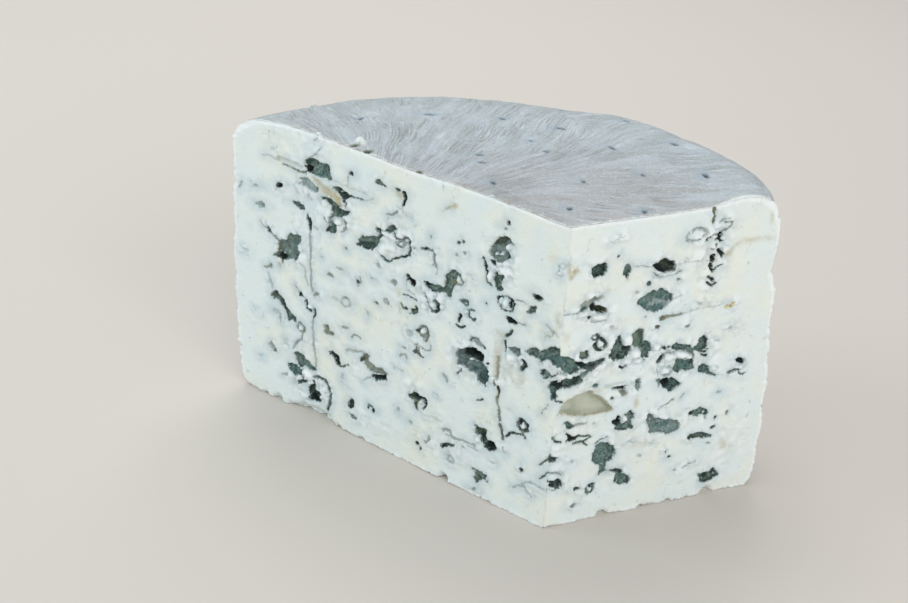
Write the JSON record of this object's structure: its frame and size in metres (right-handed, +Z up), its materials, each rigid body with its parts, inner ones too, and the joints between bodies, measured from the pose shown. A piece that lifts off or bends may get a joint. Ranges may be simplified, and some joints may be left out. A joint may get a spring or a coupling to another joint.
{
  "type": "roquefort cheese piece",
  "caption": "Piece of blue cheese from a round loaf: two flat cuts meet at a sharp upright edge, with hollows lined by mould, and pale rind round the side, top and base.",
  "frame": {"origin": "middle of the bounding box in plan, on the ground that the piece stands on", "axes": "+Z up out of the base rind, +X along the long cut towards the sharp upright edge, -Y out of the long cut"},
  "size_m": [0.1756, 0.1044, 0.104],
  "materials": {
    "paste": "satin"
  },
  "bodies": {
    "root": {"roquefort_piece": "paste"}
  },
  "joints": []
}
